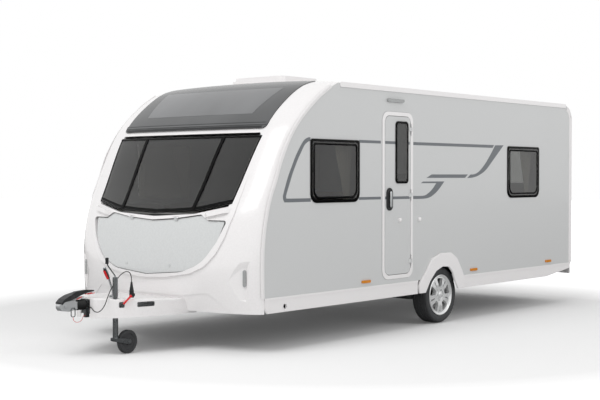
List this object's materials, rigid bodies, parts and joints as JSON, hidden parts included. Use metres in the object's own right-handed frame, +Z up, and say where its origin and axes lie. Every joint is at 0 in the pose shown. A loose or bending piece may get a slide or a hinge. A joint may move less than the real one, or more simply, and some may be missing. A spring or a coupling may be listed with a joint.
{
  "type": "travel caravan",
  "caption": "Single-axle travel caravan with a bowed front, big front skylight, side door, opening front locker, A-frame drawbar, jockey wheel and corner steadies.",
  "frame": {"origin": "on the ground, under the middle of the overall length and width", "axes": "+X forward to the coupling, +Y to the left side with the entrance door, +Z up"},
  "size_m": [7.2657, 2.4566, 2.6053],
  "materials": {
    "white_gelcoat": "gloss",
    "silver_panel": "satin",
    "grey_lid": "gloss",
    "grey_plastic": "satin",
    "black_plastic": "satin",
    "tinted_acrylic": "gloss",
    "galvanised_steel": "satin",
    "tyre_rubber": "matte",
    "soft_rubber": "matte",
    "alloy": "satin",
    "cast_drum": "matte",
    "lamp_red": "gloss",
    "amber_lens": "gloss",
    "clear_lens": "gloss",
    "ply_floor": "matte",
    "oak_board": "satin",
    "upholstery": "matte",
    "zinc": "satin",
    "red_cord": "satin"
  },
  "bodies": {
    "caravan": {"arch_trims": "grey_plastic", "awning_rails": "white_gelcoat", "axle": "galvanised_steel", "bellows": "soft_rubber", "breakaway_cable": "red_cord", "breakaway_clip": "zinc", "coupling_handle": "black_plastic", "coupling_head": "zinc", "cushions": "upholstery", "door_frame": "white_gelcoat", "drawbar": "galvanised_steel", "drawbar_cover": "white_gelcoat", "floor_panel": "ply_floor", "fridge_vents": "white_gelcoat", "front_shell": "white_gelcoat", "front_window": "tinted_acrylic", "furniture": "oak_board", "gas_locker_bulkhead": "white_gelcoat", "grab_handles": "white_gelcoat", "handbrake_lever": "zinc", "jockey_clamp": "zinc", "main_frame": "galvanised_steel", "marker_lamps": "clear_lens", "overrun_tube": "zinc", "rear_lamps": "lamp_red", "rear_shell": "white_gelcoat", "rear_window": "tinted_acrylic", "roof_hatch": "white_gelcoat", "roof_panel": "white_gelcoat", "side_markers": "amber_lens", "side_skirts": "grey_plastic", "side_wall_left": "silver_panel", "side_wall_right": "silver_panel", "side_windows_left": "tinted_acrylic", "side_windows_right": "tinted_acrylic", "skylight": "tinted_acrylic", "steady_mounts": "galvanised_steel", "trailer_cable": "black_plastic", "trailer_plug": "black_plastic", "wheel_boxes": "black_plastic", "window_strips": "black_plastic"},
    "wheel_left": {"rim_left": "alloy", "tyre_left": "tyre_rubber", "brake_drum_left": "cast_drum"},
    "wheel_right": {"rim_right": "alloy", "tyre_right": "tyre_rubber", "brake_drum_right": "cast_drum"},
    "door": {"door_leaf": "silver_panel", "door_window": "tinted_acrylic", "door_handle": "black_plastic"},
    "lid": {"gas_locker_lid": "grey_lid"},
    "jockey_tube": {"jockey_tube": "zinc"},
    "jockey_castor": {"jockey_fork": "zinc"},
    "jockey_wheel": {"jockey_wheel": "soft_rubber"},
    "toilet_door": {"toilet_door": "white_gelcoat"},
    "battery_door": {"battery_door": "white_gelcoat"},
    "steady_front_left": {"steady_leg_front_left": "galvanised_steel"},
    "steady_front_right": {"steady_leg_front_right": "galvanised_steel"},
    "steady_rear_left": {"steady_leg_rear_left": "galvanised_steel"},
    "steady_rear_right": {"steady_leg_rear_right": "galvanised_steel"}
  },
  "joints": [
    {"name": "wheel_left_spin", "type": "hinge", "parent": "caravan", "child": "wheel_left", "pos_m": [-0.616, 1.0725, 0.302], "axis": [0, 1, 0], "continuous": true},
    {"name": "wheel_right_spin", "type": "hinge", "parent": "caravan", "child": "wheel_right", "pos_m": [-0.616, -1.0725, 0.302], "axis": [0, 1, 0], "continuous": true},
    {"name": "door_hinge", "type": "hinge", "parent": "caravan", "child": "door", "pos_m": [0.028, 1.222, 1.39], "axis": [0, 0, 1], "range_deg": [0, 170]},
    {"name": "locker_lid_hinge", "type": "hinge", "parent": "caravan", "child": "lid", "pos_m": [2.51, 0, 1.2011], "axis": [0, -1, 0], "range_deg": [0, 70]},
    {"name": "jockey_slide", "type": "slide", "parent": "caravan", "child": "jockey_tube", "axis": [0, 0, 1], "range_m": [0, 0.11]},
    {"name": "jockey_swivel", "type": "hinge", "parent": "jockey_tube", "child": "jockey_castor", "pos_m": [3.166, 0.218, 0.18], "axis": [0, 0, 1], "continuous": true},
    {"name": "jockey_wheel_spin", "type": "hinge", "parent": "jockey_castor", "child": "jockey_wheel", "pos_m": [3.03, 0.218, 0.105], "axis": [0, 1, 0], "continuous": true},
    {"name": "toilet_door_hinge", "type": "hinge", "parent": "caravan", "child": "toilet_door", "pos_m": [-2.829, -1.212, 1], "axis": [-1, 0, 0], "range_deg": [0, 90]},
    {"name": "battery_door_hinge", "type": "hinge", "parent": "caravan", "child": "battery_door", "pos_m": [1.166, -1.212, 0.9], "axis": [-1, 0, 0], "range_deg": [0, 90]},
    {"name": "steady_front_left_hinge", "type": "hinge", "parent": "caravan", "child": "steady_front_left", "pos_m": [1.976, 0.555, 0.442], "axis": [-1, 0, 0], "range_deg": [0, 62]},
    {"name": "steady_front_right_hinge", "type": "hinge", "parent": "caravan", "child": "steady_front_right", "pos_m": [1.976, -0.555, 0.442], "axis": [1, 0, 0], "range_deg": [0, 62]},
    {"name": "steady_rear_left_hinge", "type": "hinge", "parent": "caravan", "child": "steady_rear_left", "pos_m": [-3.234, 0.555, 0.442], "axis": [-1, 0, 0], "range_deg": [0, 62]},
    {"name": "steady_rear_right_hinge", "type": "hinge", "parent": "caravan", "child": "steady_rear_right", "pos_m": [-3.234, -0.555, 0.442], "axis": [1, 0, 0], "range_deg": [0, 62]}
  ]
}
